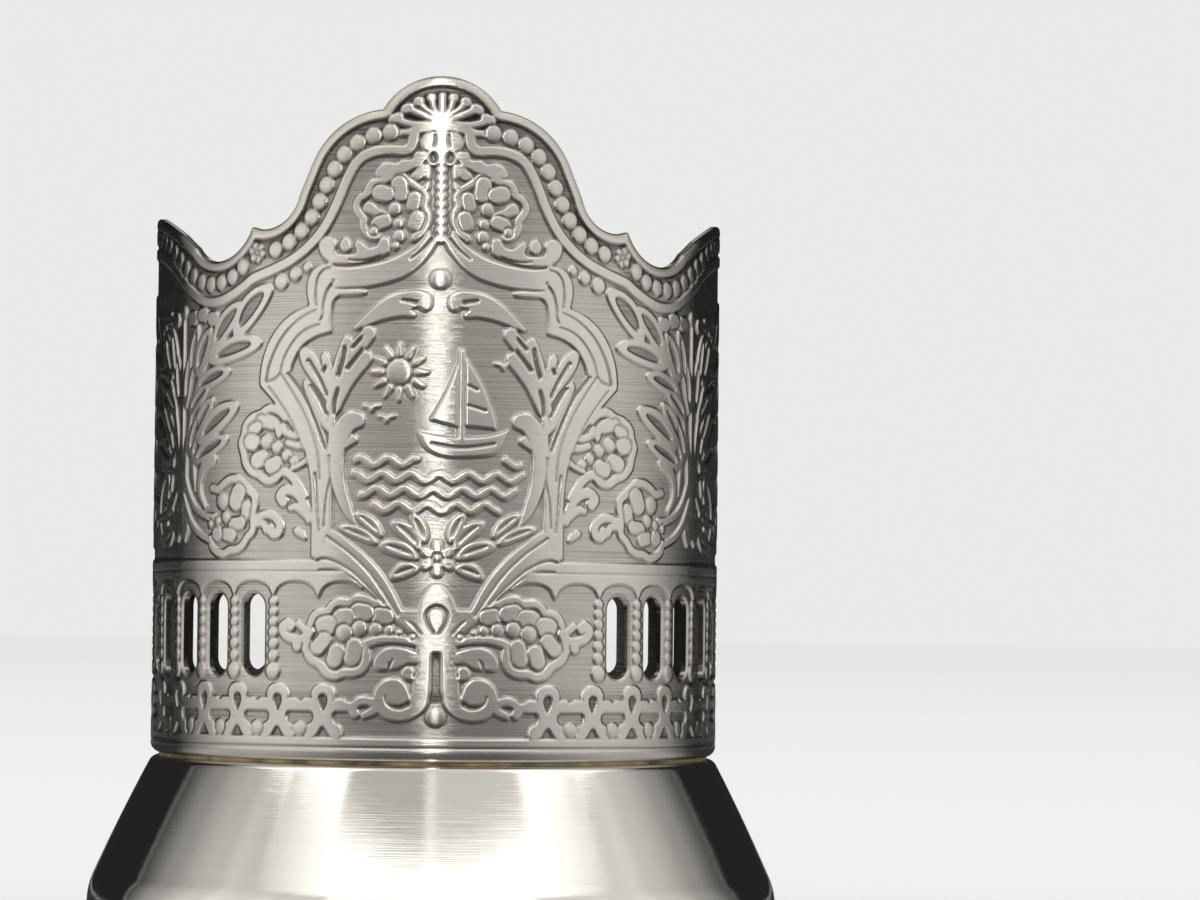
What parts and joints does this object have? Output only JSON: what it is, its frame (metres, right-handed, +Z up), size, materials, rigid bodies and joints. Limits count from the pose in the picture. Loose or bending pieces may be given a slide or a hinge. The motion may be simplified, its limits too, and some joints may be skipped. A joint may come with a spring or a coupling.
{
  "type": "tea glass holder",
  "caption": "Podstakannik: a pierced cylindrical metal sleeve with a crested rim on a flared foot, with an ear handle and thumb rest, that holds a hot tea glass.",
  "frame": {"origin": "centre of the foot's rim, on the surface that the holder stands on", "axes": "+Z up along the sleeve's axis, out of its mouth; the rim's high crest faces -Y and the handle points to +Y"},
  "size_m": [0.084, 0.1095, 0.1018],
  "materials": {
    "antiqued_nickel": "satin nickel silver, raised ornament bright, recesses blackened",
    "satin_nickel": "plain nickel silver, fine brush lines round the axis",
    "brass_solder": "dull brass-coloured solder line, darkened",
    "silver_solder": "dull silver solder"
  },
  "bodies": {
    "root": {"sleeve": "antiqued_nickel", "seam_solder": "silver_solder", "base_skirt": "satin_nickel", "base_solder_ring": "brass_solder", "seat_disc": "satin_nickel", "handle_strap": "antiqued_nickel", "upper_handle_solder": "silver_solder", "lower_handle_solder": "silver_solder", "thumb_rest": "antiqued_nickel", "thumb_rest_solder": "silver_solder"}
  },
  "joints": []
}
